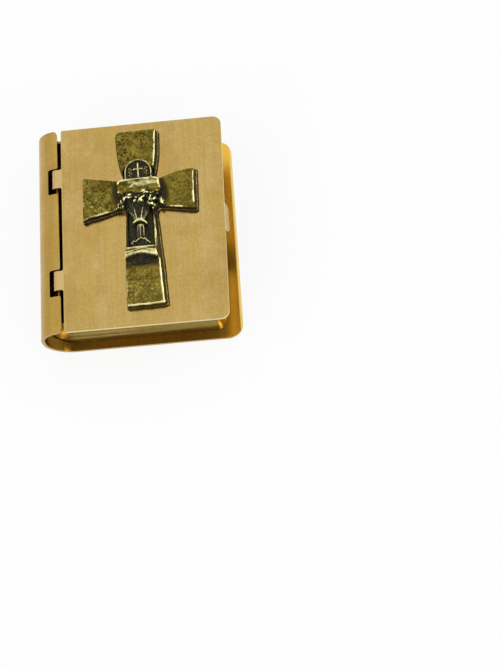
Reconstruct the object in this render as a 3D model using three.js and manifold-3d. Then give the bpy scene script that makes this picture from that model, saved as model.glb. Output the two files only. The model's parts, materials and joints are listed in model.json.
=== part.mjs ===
// A small metal box for a rosary, made like a closed book. It lies on its back cover.
// Millimetres. X runs from the spine to the fore-edge, Y from the foot to the head, Z up.
// The origin is under the middle of the box, on the surface that it lies on.
import * as THREE from 'three';
import { mergeVertices } from 'three/addons/utils/BufferGeometryUtils.js';
import Module from 'manifold-3d';

// Whole box
const bookLength = 46;
const bookWidth = 41.2;
const bookThickness = 12.2;

// Back cover: one sheet that is bent round into the spine
const backSheet = 0.7;
const backCornerRadius = 3;
const spineTopRadius = 5;
const spineUpright = 1.1;
const spineCornerRadius = 1;

// Front cover
const frontSheet = 0.7;
const frontMarginHead = 1.15;
const frontMarginFoot = 1.95;
const frontCornerRadius = 1.8;
const frontHingeCornerRadius = 0.4;
const crownToFront = 0.7;
const hingeGapHead = 0.85;
const hingeGapFoot = 0.55;
const hingeEdgeRelief = 0.6;

// Hinge: two tabs of the front cover curl round one wire
const wireRadius = 0.35;
const wireEndGap = 2.5;
const wireSeatGap = 0.1;
const curlClearance = 0.15;
const curlTurn = THREE.MathUtils.degToRad(235);
const tabWidth = 4.25;
const tabReach = 2.3;
const tabSpacing = 23.2;
const tabFilletRadius = 0.4;
const notchReach = 2.95;
const notchHeadClearance = 0.3;
const notchFootClearance = 1.3;
const notchCornerRadius = 0.4;

// Page wall: a strip on the back cover, bent round three sides of the hollow. Its outer face is
// hollowed, like the edges of a book's pages.
const wallSheet = 0.5;
const wallEndInset = 1.9;
const wallForeInset = 1.4;
const wallHollowing = 1.35;
const wallInnerCornerRadius = 0.4;
const wallRimGap = 0.3;
const seatGap = 0.3;

// Catch: a tongue on the front cover's fore-edge, and a bead on the page wall behind it
const catchWidth = 6.5;
const catchDrop = 3;
const catchFlare = 0.6;
const catchSheet = 0.6;
const catchCornerRadius = 1.2;
const beadProud = 1.1;
const beadLength = 4;
const beadDrop = 2.1;

// Cross: one casting that lies on the front cover
const crossLength = 39.85;
const crossWidth = 24.3;
const crossFootMargin = 3.9;
const crossCentreShift = -0.1;
const crossTurnDegrees = 0.9;
const crossTopArm = 15.1;
const crossPlate = 1.6;
const crossDraft = 0.2;
const topEndHalf = 4.7;
const sideEndHalf = 4.85;
const footEndHalf = 4.1;
const shaftHalf = 3.2;
const crossFilletRadius = 0.9;
const crossEndRadius = 0.9;
const panelMargin = 0.7;
const panelDepth = 0.6;
const panelTop = 8.3;
const panelBottom = 11.9;

// Chalice on the cross: its rim, cup, stem and foot, as radii and as heights over its foot
const chaliceLength = 17.3;
const chaliceFootBelow = 14.4;
const chaliceDepthShare = 0.42;
const footRadius = 3.4;
const footHeight = 2.1;
const footNeckRadius = 2.1;
const stemRadius = 1;
const knobRadius = 1.8;
const knobHeight = 7.5;
const knobHalfLength = 0.5;
const cupRadius = 3;
const cupHeight = 11.8;
const rimRadius = 4.5;
const rimDepth = 3.2;
const hostRadius = 2.85;
const hostOver = 5;
const hostProud = 0.4;
const grapeRadius = 0.8;
const grapeTopHeight = 14.2;
const grapeBandHalfWidth = 3.9;
const grapesPerRow = 6;
const grapeRows = 3;

// Places worked out from the sizes
const spineX = -bookWidth / 2;
const foreX = bookWidth / 2;
const crownX = spineX + spineTopRadius;
const crownZ = bookThickness - spineTopRadius;
const bendRadius = bookThickness - spineTopRadius - spineUpright;
const bendX = spineX + bendRadius;
const headY = bookLength / 2;
const footY = -headY;
const frontLeft = crownX + crownToFront;
const frontRightHead = foreX - frontMarginHead;
const frontRightFoot = foreX - frontMarginFoot;
const tongueX = (frontRightHead + frontRightFoot) / 2;
const frontUnder = bookThickness - frontSheet;
const curlOuter = wireRadius + curlClearance + frontSheet;
const pivotX = frontLeft - tabReach + curlOuter;
const crownSag = spineTopRadius - backSheet
  - Math.sqrt((spineTopRadius - backSheet) ** 2 - (crownX - pivotX) ** 2);
const pivotZ = bookThickness - Math.max(curlOuter, backSheet + crownSag + wireSeatGap + wireRadius);
const wallRight = frontRightFoot - wallForeInset;
const wallTop = frontUnder - wallRimGap;
const wallHalfLength = headY - wallEndInset;
const wallCornerRadius = wallInnerCornerRadius + wallSheet + wallHollowing;
const wireHalfLength = wallHalfLength - wallSheet - wireEndGap;
const crossFootArm = crossLength - crossTopArm;
const crossSideArm = crossWidth / 2;
const crossX = (frontLeft + frontRightFoot) / 2 + crossCentreShift;
const crossY = footY + crossFootMargin + crossFootArm;

// How far cuts run past what they cut
const overrun = 2;

// How finely the curves are drawn
const arcSteps = 8;
const bendSegments = 16;
const wallSteps = 8;
const roundSegments = 24;

// Finishes
const sheetBrass = new THREE.MeshStandardMaterial({ color: 0xbfa05f, roughness: 0.34, metalness: 1 });
const innerBrass = new THREE.MeshStandardMaterial({ color: 0xa87818, roughness: 0.28, metalness: 1 });
const wireBrass = new THREE.MeshStandardMaterial({ color: 0x8f7a3c, roughness: 0.4, metalness: 1 });
const agedBrass = new THREE.MeshStandardMaterial({ color: 0x82793a, roughness: 0.48, metalness: 1 });

const wasm = await Module();
wasm.setup();

// Turns a closed geometry into a solid that can be joined and cut.
function solid(geometry) {
  const bare = geometry.index ? geometry.toNonIndexed() : geometry.clone();
  bare.deleteAttribute('normal');
  bare.deleteAttribute('uv');
  const merged = mergeVertices(bare);
  return new wasm.Manifold(new wasm.Mesh({
    numProp: 3,
    vertProperties: new Float32Array(merged.attributes.position.array),
    triVerts: new Uint32Array(merged.index.array),
  }));
}

function namedMesh(name, body, material) {
  const mesh = body.getMesh();
  const geometry = new THREE.BufferGeometry();
  geometry.setAttribute('position', new THREE.BufferAttribute(new Float32Array(mesh.vertProperties), 3));
  geometry.setIndex(new THREE.BufferAttribute(new Uint32Array(mesh.triVerts), 1));
  geometry.computeVertexNormals();
  const object = new THREE.Mesh(geometry, material);
  object.name = name;
  return object;
}

function joined(bodies) {
  return bodies.reduce((whole, body) => whole.add(body));
}

// A plan shape, raised from one height to another.
function raised(shape, low, high) {
  const geometry = new THREE.ExtrudeGeometry(shape, {
    depth: high - low, bevelEnabled: false, curveSegments: bendSegments,
  });
  geometry.translate(0, 0, low);
  return solid(geometry);
}

// A section in X and Z, drawn out along Y.
function drawnAlongY(shape, from, to) {
  const geometry = new THREE.ExtrudeGeometry(shape, {
    depth: to - from, bevelEnabled: false, curveSegments: bendSegments,
  });
  geometry.rotateX(Math.PI / 2);
  geometry.translate(0, to, 0);
  return solid(geometry);
}

// A section in Y and Z, drawn out along X.
function drawnAlongX(shape, from, to) {
  const geometry = new THREE.ExtrudeGeometry(shape, {
    depth: to - from, bevelEnabled: false, curveSegments: bendSegments,
  });
  geometry.rotateX(Math.PI / 2);
  geometry.rotateZ(Math.PI / 2);
  geometry.translate(from, 0, 0);
  return solid(geometry);
}

// A solid through stacked plans, which are convex and have the same number of points.
function lofted(plans, heights) {
  const outlines = plans.map((plan) => plan.getPoints());
  const rings = outlines.map((outline, level) => outline.map(({ x, y }) => [x, y, heights[level]]));
  const corners = [];
  rings.slice(1).forEach((upper, level) => {
    const lower = rings[level];
    lower.forEach((here, index) => {
      const next = (index + 1) % lower.length;
      corners.push(here, lower[next], upper[next]);
      corners.push(here, upper[next], upper[index]);
    });
  });
  const [bottom, top] = [rings.at(0), rings.at(-1)];
  THREE.ShapeUtils.triangulateShape(outlines[0], []).forEach(([a, b, c]) => {
    corners.push(bottom[a], bottom[c], bottom[b]);
    corners.push(top[a], top[b], top[c]);
  });
  const geometry = new THREE.BufferGeometry();
  geometry.setAttribute('position', new THREE.Float32BufferAttribute(corners.flat(), 3));
  return solid(geometry);
}

// A closed outline from corners, each given as x, y and the radius that rounds it.
function roundedShape(corners) {
  const points = [];
  const towards = (corner, [x, y]) => new THREE.Vector2(x, y).sub(corner).normalize();
  corners.forEach(([x, y, radius], index) => {
    const corner = new THREE.Vector2(x, y);
    if (radius === 0) {
      points.push(corner);
      return;
    }
    const before = towards(corner, corners.at(index - 1));
    const after = towards(corner, corners[(index + 1) % corners.length]);
    const half = Math.acos(before.dot(after)) / 2;
    const inward = before.clone().add(after).normalize();
    const centre = corner.clone().addScaledVector(inward, radius / Math.sin(half));
    const spoke = corner.clone().addScaledVector(before, radius / Math.tan(half)).sub(centre);
    const sweep = Math.sign(before.cross(after)) * -(Math.PI - 2 * half);
    for (let step = 0; step <= arcSteps; step += 1) {
      const turned = spoke.clone().rotateAround(new THREE.Vector2(), sweep * step / arcSteps);
      points.push(turned.add(centre));
    }
  });
  return new THREE.Shape(points);
}

function rectangle(left, right, low, high) {
  return roundedShape([[left, low, 0], [right, low, 0], [right, high, 0], [left, high, 0]]);
}

// The back cover's sheet, seen from its foot end, as far as the front cover's hinge edge.
function backSection() {
  const section = new THREE.Shape();
  section.moveTo(foreX, 0);
  section.lineTo(bendX, 0);
  section.absarc(bendX, bendRadius, bendRadius, -Math.PI / 2, -Math.PI, true);
  section.absarc(crownX, crownZ, spineTopRadius, Math.PI, Math.PI / 2, true);
  section.lineTo(frontLeft, bookThickness);
  section.lineTo(frontLeft, bookThickness - backSheet);
  section.absarc(crownX, crownZ, spineTopRadius - backSheet, Math.PI / 2, Math.PI, false);
  section.absarc(bendX, bendRadius, bendRadius - backSheet, Math.PI, 3 * Math.PI / 2, false);
  section.lineTo(foreX, backSheet);
  return section;
}

function tabCentres() {
  return [tabSpacing / 2, -tabSpacing / 2];
}

// What is cut away, seen from above, beside the spine's free edge: the gap and the two notches.
function freeEdgeCut() {
  const edgeHead = frontLeft - hingeGapHead;
  const edgeFoot = frontLeft - hingeGapFoot;
  const edgeAt = (y) => THREE.MathUtils.mapLinear(y, footY, headY, edgeFoot, edgeHead);
  const right = frontLeft + overrun;
  const corners = [
    [right, headY + overrun, 0],
    [edgeHead - spineCornerRadius - overrun, headY + overrun, 0],
    [edgeHead - spineCornerRadius - overrun, headY, 0],
    [edgeHead, headY, spineCornerRadius],
  ];
  tabCentres().forEach((centre) => {
    const high = centre + tabWidth / 2 + notchHeadClearance;
    const low = centre - tabWidth / 2 - notchFootClearance;
    corners.push(
      [edgeAt(high), high, notchCornerRadius],
      [frontLeft - notchReach, high, notchCornerRadius],
      [frontLeft - notchReach, low, notchCornerRadius],
      [edgeAt(low), low, notchCornerRadius],
    );
  });
  corners.push(
    [edgeFoot, footY, spineCornerRadius],
    [edgeFoot - spineCornerRadius - overrun, footY, 0],
    [edgeFoot - spineCornerRadius - overrun, footY - overrun, 0],
    [right, footY - overrun, 0],
  );
  return raised(roundedShape(corners), bookThickness / 2, bookThickness + overrun);
}

function backCover() {
  const plan = roundedShape([
    [spineX - overrun, footY, 0],
    [foreX, footY, backCornerRadius],
    [foreX, headY, backCornerRadius],
    [spineX - overrun, headY, 0],
  ]);
  const sheet = drawnAlongY(backSection(), footY - overrun, headY + overrun);
  return sheet.intersect(raised(plan, -overrun, bookThickness + overrun)).subtract(freeEdgeCut());
}

// The room inside the spine and over the back cover that the page wall's strip may take.
function wallRoom() {
  const room = new THREE.Shape();
  const bendRoom = bendRadius - backSheet - seatGap;
  const crownRoom = spineTopRadius - backSheet - seatGap;
  room.moveTo(foreX, backSheet);
  room.lineTo(bendX, backSheet);
  room.absarc(bendX, bendRadius, bendRoom, -Math.PI / 2, -Math.PI, true);
  room.absarc(crownX, crownZ, crownRoom, Math.PI, Math.PI / 2, true);
  room.lineTo(foreX, crownZ + crownRoom);
  return drawnAlongY(room, footY, headY);
}

function wallPlan(inset) {
  const right = wallRight - inset;
  const half = wallHalfLength - inset;
  const radius = wallCornerRadius - inset;
  const left = spineX - inset;
  return roundedShape([[left, -half, 0], [right, -half, radius], [right, half, radius], [left, half, 0]]);
}

// How far the hollowed face lies in from the wall's top and bottom edges, at a height.
function wallInset(z) {
  const fromMiddle = 2 * THREE.MathUtils.inverseLerp(backSheet, wallTop, z) - 1;
  return wallHollowing * Math.max(0, 1 - fromMiddle ** 2);
}

// The block inside the wall's outer face, or inside its inner face when moved in by the sheet. It
// runs past the wall above and below.
function wallBlock(moved) {
  const heights = [backSheet - overrun];
  for (let step = 0; step <= wallSteps; step += 1) {
    heights.push(THREE.MathUtils.lerp(backSheet, wallTop, step / wallSteps));
  }
  heights.push(wallTop + overrun);
  return lofted(heights.map((z) => wallPlan(wallInset(z) + moved)), heights);
}

function catchBead() {
  const z = bookThickness - beadDrop;
  const bead = new THREE.CapsuleGeometry(beadProud, beadLength - 2 * beadProud, arcSteps, roundSegments);
  bead.translate(wallRight - wallInset(z), 0, z);
  return solid(bead);
}

function pageWall() {
  const band = raised(rectangle(spineX, foreX, footY, headY), backSheet, wallTop);
  const strip = wallBlock(0).add(catchBead()).subtract(wallBlock(wallSheet));
  return strip.intersect(band).intersect(wallRoom());
}

// The underside of the hinge edge is bevelled, so that it turns clear of the spine.
function hingeEdgeBevel() {
  const bevel = roundedShape([
    [frontLeft - overrun, frontUnder + hingeEdgeRelief + overrun, 0],
    [frontLeft - overrun, frontUnder - overrun, 0],
    [frontLeft + hingeEdgeRelief + overrun, frontUnder - overrun, 0],
  ]);
  return drawnAlongY(bevel, footY - overrun, headY + overrun);
}

function tab(centre) {
  const low = centre - tabWidth / 2;
  const high = centre + tabWidth / 2;
  const inside = frontLeft + hingeEdgeRelief + frontSheet;
  const flat = roundedShape([
    [pivotX, low, 0],
    [frontLeft, low, tabFilletRadius],
    [frontLeft, low - 2 * tabFilletRadius, 0],
    [inside, low - 2 * tabFilletRadius, 0],
    [inside, high + 2 * tabFilletRadius, 0],
    [frontLeft, high + 2 * tabFilletRadius, 0],
    [frontLeft, high, tabFilletRadius],
    [pivotX, high, 0],
  ]);
  const curl = new THREE.Shape();
  curl.absarc(pivotX, pivotZ, curlOuter, Math.PI / 2, Math.PI / 2 + curlTurn, false);
  curl.absarc(pivotX, pivotZ, curlOuter - frontSheet, Math.PI / 2 + curlTurn, Math.PI / 2, true);
  return raised(flat, frontUnder, bookThickness).add(drawnAlongY(curl, low, high));
}

// The tongue, seen from its foot side: it hangs from the middle of the fore-edge and flares at its
// tip.
function catchTongue() {
  const tip = bookThickness - catchDrop;
  const bend = bookThickness - catchDrop / 2;
  const section = roundedShape([
    [tongueX - catchSheet, bookThickness, 0],
    [tongueX - catchSheet, bend, 0],
    [tongueX + catchFlare - catchSheet, tip, 0],
    [tongueX + catchFlare, tip, 0],
    [tongueX, bend, 0],
    [tongueX, bookThickness, 0],
  ]);
  const half = catchWidth / 2;
  const face = roundedShape([
    [-half, bookThickness, 0],
    [-half, tip, catchCornerRadius],
    [half, tip, catchCornerRadius],
    [half, bookThickness, 0],
  ]);
  const block = drawnAlongX(face, tongueX - overrun, tongueX + overrun);
  return drawnAlongY(section, -half, half).intersect(block);
}

// The front cover isn't quite square: it is wider at the head than at the foot.
function frontCover() {
  const plan = roundedShape([
    [frontLeft, footY, frontHingeCornerRadius],
    [frontRightFoot, footY, frontCornerRadius],
    [frontRightHead, headY, frontCornerRadius],
    [frontLeft, headY, frontHingeCornerRadius],
  ]);
  const plate = raised(plan, frontUnder, bookThickness).subtract(hingeEdgeBevel());
  return joined([plate, ...tabCentres().map(tab), catchTongue()]);
}

function hingeWire() {
  const wire = new THREE.CylinderGeometry(wireRadius, wireRadius, 2 * wireHalfLength, roundSegments);
  wire.translate(pivotX, 0, pivotZ);
  return solid(wire);
}

// Each arm is as wide as the shaft at the crossing and flares towards its end. The flank of the top
// arm bulges, and its first step is left out to make room for the fillet in the neck.
function crossOutline() {
  const neck = new THREE.Vector2(shaftHalf, shaftHalf);
  const bulge = new THREE.Vector2(topEndHalf, crossTopArm / 2);
  const end = new THREE.Vector2(topEndHalf, crossTopArm);
  const flank = new THREE.QuadraticBezierCurve(neck, bulge, end).getPoints(arcSteps).slice(2, -1);
  const rightHalf = [
    [footEndHalf, -crossFootArm, 0],
    [shaftHalf, -shaftHalf, crossFilletRadius],
    [crossSideArm, -sideEndHalf, 0],
    [crossSideArm, sideEndHalf, 0],
    [shaftHalf, shaftHalf, crossFilletRadius],
    ...flank.map(({ x, y }) => [x, y, 0]),
    [topEndHalf, crossTopArm, crossEndRadius],
  ];
  const leftHalf = rightHalf.map(([x, y, radius]) => [-x, y, radius]).reverse();
  return roundedShape([...rightHalf, ...leftHalf]);
}

// The plate's sides lean in by the draft from the front cover to its face.
function crossPlateBody() {
  const geometry = new THREE.ExtrudeGeometry(crossOutline(), {
    depth: crossPlate,
    bevelThickness: crossPlate,
    bevelSize: crossDraft,
    bevelOffset: -crossDraft,
    bevelSegments: 1,
    curveSegments: arcSteps,
  });
  geometry.translate(0, 0, -crossPlate);
  const upper = raised(
    rectangle(-crossWidth, crossWidth, -crossLength, crossLength), 0, crossPlate + overrun,
  );
  return solid(geometry).intersect(upper);
}

function sunkPanel() {
  const half = shaftHalf - panelMargin;
  const floor = crossPlate - panelDepth;
  return raised(rectangle(-half, half, -panelBottom, panelTop), floor, crossPlate + overrun);
}

// The chalice is turned about its own axis, laid along Y and pressed flat.
function chalice() {
  const profile = new THREE.Path();
  profile.moveTo(0, 0);
  profile.lineTo(footRadius, 0);
  profile.lineTo(footRadius, footHeight);
  profile.lineTo(footNeckRadius, footHeight);
  profile.quadraticCurveTo(stemRadius, knobHeight / 2, stemRadius, knobHeight - knobHalfLength);
  profile.absellipse(stemRadius, knobHeight, knobRadius - stemRadius, knobHalfLength,
    -Math.PI / 2, Math.PI / 2, false);
  profile.quadraticCurveTo(cupRadius, knobHeight + knobHalfLength, cupRadius, cupHeight);
  profile.lineTo(rimRadius, chaliceLength - rimDepth);
  profile.lineTo(rimRadius, chaliceLength - rimDepth / 2);
  profile.quadraticCurveTo(rimRadius, chaliceLength, 0, chaliceLength);
  const geometry = new THREE.LatheGeometry(profile.getPoints(arcSteps), roundSegments);
  geometry.scale(1, 1, chaliceDepthShare);
  geometry.translate(0, -chaliceFootBelow, crossPlate);
  return solid(geometry);
}

function host() {
  const disc = new THREE.Shape().absarc(0, hostOver, hostRadius, 0, 2 * Math.PI);
  return raised(disc, crossPlate / 2, crossPlate + hostProud);
}

// Rows of grapes hang over the cup; each row below has one grape less.
function grapes() {
  const bunch = [];
  const pitch = 2 * grapeBandHalfWidth / (grapesPerRow - 1);
  for (let row = 0; row < grapeRows; row += 1) {
    const count = grapesPerRow - row;
    for (let index = 0; index < count; index += 1) {
      const across = (index - (count - 1) / 2) * pitch;
      const along = grapeTopHeight - chaliceFootBelow - row * pitch;
      const bulge = Math.sqrt(Math.max(0, 1 - (across / rimRadius) ** 2));
      const grape = new THREE.SphereGeometry(grapeRadius, 2 * arcSteps, arcSteps);
      grape.translate(across, along, crossPlate + bulge * cupRadius * chaliceDepthShare);
      bunch.push(solid(grape));
    }
  }
  return bunch;
}

// The cross is drawn round the crossing of its arms, with its back at zero, and then laid in place,
// a little out of square, as it was soldered on by hand.
function cross() {
  const under = raised(
    rectangle(-crossWidth, crossWidth, -crossLength, crossLength), -overrun - crossPlate, 0,
  );
  const parts = [crossPlateBody().subtract(sunkPanel()), chalice(), host(), ...grapes()];
  const upright = joined(parts).subtract(under);
  return upright.rotate([0, 0, crossTurnDegrees]).translate([crossX, crossY, bookThickness]);
}

const box = new THREE.Group();
box.add(
  namedMesh('back_cover', backCover(), innerBrass),
  namedMesh('page_wall', pageWall(), innerBrass),
  namedMesh('hinge_wire', hingeWire(), wireBrass),
  namedMesh('front_cover', frontCover(), sheetBrass),
  namedMesh('cross', cross(), agedBrass),
);

export default box;
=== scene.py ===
# A small brass box for a rosary, made like a closed book, with an antiqued cross on its front cover.
# Metres, in the part's own frame: X from the spine to the fore-edge, Y from the foot to the head, Z up.
import json
import math

import bmesh
import bpy
import numpy as np
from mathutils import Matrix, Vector


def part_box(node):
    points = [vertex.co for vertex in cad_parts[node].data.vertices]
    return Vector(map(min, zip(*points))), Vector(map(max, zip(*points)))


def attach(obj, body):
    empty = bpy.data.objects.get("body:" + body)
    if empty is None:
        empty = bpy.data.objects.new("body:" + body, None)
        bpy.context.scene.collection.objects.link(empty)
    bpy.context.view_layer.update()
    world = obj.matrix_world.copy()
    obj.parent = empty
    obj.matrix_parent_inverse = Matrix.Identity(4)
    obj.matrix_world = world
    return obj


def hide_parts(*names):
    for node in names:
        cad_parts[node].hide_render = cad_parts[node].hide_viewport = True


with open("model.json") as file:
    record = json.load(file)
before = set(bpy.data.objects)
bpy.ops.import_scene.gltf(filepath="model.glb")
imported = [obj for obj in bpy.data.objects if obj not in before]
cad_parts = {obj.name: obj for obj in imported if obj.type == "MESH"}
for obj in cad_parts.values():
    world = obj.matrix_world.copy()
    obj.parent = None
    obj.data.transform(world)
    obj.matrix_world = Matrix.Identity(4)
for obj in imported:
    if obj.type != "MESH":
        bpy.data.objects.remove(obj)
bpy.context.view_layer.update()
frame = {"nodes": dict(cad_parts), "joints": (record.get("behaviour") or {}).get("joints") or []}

MM = 0.001
scene = bpy.context.scene
scene.view_settings.view_transform = "Standard"

# Places that the frame gives: the top of the front cover, the fore-edge of the back cover, the top of the
# back cover's sheet, where the page wall stands, and the wire that the front cover turns on
COVER_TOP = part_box("front_cover")[1].z
FORE_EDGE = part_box("back_cover")[1].x
SHEET_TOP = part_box("page_wall")[0].z
WIRE_X = frame["joints"][0]["pos_m"][0]


# Camera: a pinhole that was set from the box's edges in the photo. Its place is in millimetres, its turn in
# degrees, and its near and far limits in metres.
CAMERA_PLACE = (34.75, -116.7, 254.6)
CAMERA_TURN = (20.08, 4.31, -3.84)
CAMERA_FOCAL_PIXELS = 1300
PHOTO_WIDTH_PIXELS = 500
SENSOR = 36
CAMERA_NEAR, CAMERA_FAR = 0.005, 20


def make_camera():
    data = bpy.data.cameras.new("camera")
    data.sensor_fit = "HORIZONTAL"
    data.sensor_width = SENSOR
    data.lens = CAMERA_FOCAL_PIXELS * SENSOR / PHOTO_WIDTH_PIXELS
    data.clip_start = CAMERA_NEAR
    data.clip_end = CAMERA_FAR
    camera = bpy.data.objects.new("camera", data)
    scene.collection.objects.link(camera)
    camera.location = Vector(CAMERA_PLACE) * MM
    camera.rotation_euler = [math.radians(a) for a in CAMERA_TURN]
    scene.camera = camera


make_camera()


# Shader helpers
class Nodes:
    """The node tree of a material or world, with short calls to add and join nodes."""

    def __init__(self, owner, output):
        owner.use_nodes = True
        self.tree = owner.node_tree
        self.tree.nodes.clear()
        self.out = self.node(output)

    def node(self, kind, **settings):
        made = self.tree.nodes.new(kind)
        for key, value in settings.items():
            setattr(made, key, value)
        return made

    def put(self, socket, value):
        if isinstance(value, bpy.types.NodeSocket):
            self.tree.links.new(value, socket)
        else:
            socket.default_value = value

    def between(self, value, low, high, to_low=0.0, to_high=1.0):
        """A smooth step from to_low to to_high as the value goes from low to high."""
        made = self.node("ShaderNodeMapRange", interpolation_type="SMOOTHSTEP")
        for key, number in (("Value", value), ("From Min", low), ("From Max", high),
                            ("To Min", to_low), ("To Max", to_high)):
            self.put(made.inputs[key], number)
        return made.outputs["Result"]

    def mix(self, share, a, b):
        made = self.node("ShaderNodeMix", data_type="RGBA")
        self.put(made.inputs[0], share)
        self.put(made.inputs[6], a)
        self.put(made.inputs[7], b)
        return made.outputs[2]


class Shader(Nodes):
    """A material's nodes, with short calls for patterns in the piece's own frame."""

    def __init__(self, name):
        self.material = bpy.data.materials.new(name)
        super().__init__(self.material, "ShaderNodeOutputMaterial")
        self.coordinates = self.node("ShaderNodeTexCoord").outputs["Object"]

    def math(self, operation, a, b, clamp=False):
        made = self.node("ShaderNodeMath", operation=operation, use_clamp=clamp)
        self.put(made.inputs[0], a)
        self.put(made.inputs[1], b)
        return made.outputs[0]

    def plus(self, a, b):
        return self.math("ADD", a, b)

    def minus(self, a, b):
        return self.math("SUBTRACT", a, b)

    def times(self, first, *others):
        product = first
        for factor in others:
            product = self.math("MULTIPLY", product, factor)
        return product

    def noise(self, per_metre, detail, rough, distortion=0.0):
        """Noise with that many hills to a metre, alike in all directions or given for each one."""
        made = self.node("ShaderNodeTexNoise")
        if isinstance(per_metre, tuple):
            stretch = self.node("ShaderNodeMapping")
            self.put(stretch.inputs["Vector"], self.coordinates)
            stretch.inputs["Scale"].default_value = per_metre
            self.put(made.inputs["Vector"], stretch.outputs["Vector"])
            made.inputs["Scale"].default_value = 1
        else:
            self.put(made.inputs["Vector"], self.coordinates)
            made.inputs["Scale"].default_value = per_metre
        made.inputs["Detail"].default_value = detail
        made.inputs["Roughness"].default_value = rough
        made.inputs["Distortion"].default_value = distortion
        return made.outputs["Fac"]

    def attribute(self, name):
        return self.node("ShaderNodeAttribute", attribute_name=name).outputs["Fac"]

    def place(self):
        made = self.node("ShaderNodeSeparateXYZ")
        self.put(made.inputs[0], self.coordinates)
        return made.outputs

    def facing(self):
        """The normal in the piece's own frame, so that it is the same at every pose."""
        made = self.node("ShaderNodeSeparateXYZ")
        self.put(made.inputs[0], self.node("ShaderNodeTexCoord").outputs["Normal"])
        return made.outputs

    def bump(self, height, distance, strength, normal=None):
        made = self.node("ShaderNodeBump")
        self.put(made.inputs["Height"], height)
        made.inputs["Distance"].default_value = distance
        made.inputs["Strength"].default_value = strength
        if normal is not None:
            self.put(made.inputs["Normal"], normal)
        return made.outputs["Normal"]

    def leaning(self, x):
        """The surface's normal, leaning by x towards the fore-edge."""
        lean = self.node("ShaderNodeCombineXYZ")
        self.put(lean.inputs["X"], x)
        added = self.node("ShaderNodeVectorMath", operation="ADD")
        self.put(added.inputs[0], self.node("ShaderNodeNewGeometry").outputs["Normal"])
        self.put(added.inputs[1], lean.outputs[0])
        even = self.node("ShaderNodeVectorMath", operation="NORMALIZE")
        self.put(even.inputs[0], added.outputs[0])
        return even.outputs[0]

    def metal(self, colour, roughness, normal, metallic=1.0):
        made = self.node("ShaderNodeBsdfPrincipled")
        self.put(made.inputs["Base Color"], colour)
        self.put(made.inputs["Metallic"], metallic)
        self.put(made.inputs["Roughness"], roughness)
        self.put(made.inputs["Normal"], normal)
        self.tree.links.new(made.outputs[0], self.out.inputs["Surface"])
        return self.material


def linear(red, green, blue):
    """A screen colour of 0 to 255 as the linear colour that shaders take."""
    shares = [c / 255 for c in (red, green, blue)]
    return (*(s / 12.92 if s <= 0.04045 else ((s + 0.055) / 1.055) ** 2.4 for s in shares), 1.0)


def dimmed(colour, shares):
    """A screen colour with its red, green and blue cut to those shares, as a linear colour."""
    return linear(*(c * share for c, share in zip(colour, shares)))


# Sheet brass: satin, faintly clouded, in broad bands along its length, and finely rubbed lengthwise
CLOUDS_PER_METRE = 95
FINE_PER_METRE = 520
SPECKS_PER_METRE = 1700
RUBBING_PER_METRE = (1900, 60, 1900)
BANDS_PER_METRE = (170, 40, 170)
BAND_SHARES = (0.96, 0.95, 0.8)
SPECK_SHARES = (0.72, 0.72, 0.72)
SHEET_RELIEF = 0.012 * MM
SHEET_RELIEF_STRENGTH = 0.55
BARE_COLOUR = (255, 247, 188)
BARE_ROUGHENS = 0.22


def sheet_tint(s, colour, cloud_colour, cloud, fine, rubbing):
    share = s.between(s.plus(s.times(cloud, 0.7), s.times(fine, 0.3)), 0.36, 0.66)
    tint = s.mix(share, linear(*colour), linear(*cloud_colour))
    bands = s.noise(BANDS_PER_METRE, 2, 0.5, distortion=0.6)
    tint = s.mix(s.between(bands, 0.42, 0.6, 0.0, 0.55), tint, dimmed(colour, BAND_SHARES))
    specks = s.plus(s.noise(SPECKS_PER_METRE, 3, 0.6), s.times(rubbing, 0.6))
    return s.mix(s.between(specks, 0.62, 0.96, 0.22, 0.0), tint, dimmed(cloud_colour, SPECK_SHARES))


def sheet_brass(name, colour, cloud_colour, roughness, part=None, part_colour=None, part_roughness=0.2,
                lean=None, bare=None):
    """Sheet brass, of which a part may have its own tint and roughness, lean, or be rubbed bare.

    Part, lean and bare are functions that return how much of each a place has.
    """
    s = Shader(name)
    cloud = s.noise(CLOUDS_PER_METRE, 4, 0.6, distortion=0.4)
    fine = s.noise(FINE_PER_METRE, 3, 0.6)
    rubbing = s.noise(RUBBING_PER_METRE, 2, 0.5)
    tint = sheet_tint(s, colour, cloud_colour, cloud, fine, rubbing)
    rough = s.plus(s.between(cloud, 0.3, 0.7, roughness - 0.03, roughness + 0.05), s.times(fine, 0.05))
    if part:
        share = part(s)
        tint = s.mix(share, tint, linear(*part_colour))
        rough = s.plus(s.times(rough, s.minus(1.0, share)), s.times(share, part_roughness))
    if bare:
        share = bare(s)
        tint = s.mix(share, tint, linear(*BARE_COLOUR))
        rough = s.plus(rough, s.times(share, BARE_ROUGHENS))
    relief = s.plus(s.times(rubbing, 0.35), s.times(fine, 0.65))
    under = s.leaning(lean(s)) if lean else None
    return s.metal(tint, rough, s.bump(relief, SHEET_RELIEF, SHEET_RELIEF_STRENGTH, under))


# Antiqued brass: olive faces, a nearly black patina in what is sunk, and bright worn ridges. The mesh says
# how dark the patina and the painted shade are, and how worn the metal is and where highlights are painted.
# A thin painted highlight runs round the casting's sides.
GRAIN_PER_METRE = 2100
PATCHES_PER_METRE = 420
FACE_COLOURS = ((104, 89, 26), (144, 126, 50))
FACE_LIFT = (190, 176, 92)
OLIVE = (58, 50, 14)
DARK_COLOURS = ((20, 18, 11), (60, 54, 33))
WORN_AND_HIGHLIGHT_COLOUR = (248, 240, 170)
SIDE_HIGHLIGHT_FOOT, SIDE_HIGHLIGHT_HEAD, SIDE_HIGHLIGHT_BLEND = 0.5 * MM, 0.6 * MM, 0.2 * MM
SIDE_HIGHLIGHT_SHARE, SIDE_HIGHLIGHT_CLEARS = 0.82, 0.7
CAST_RELIEF = 0.04 * MM
CAST_RELIEF_STRENGTH = 0.6


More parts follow.
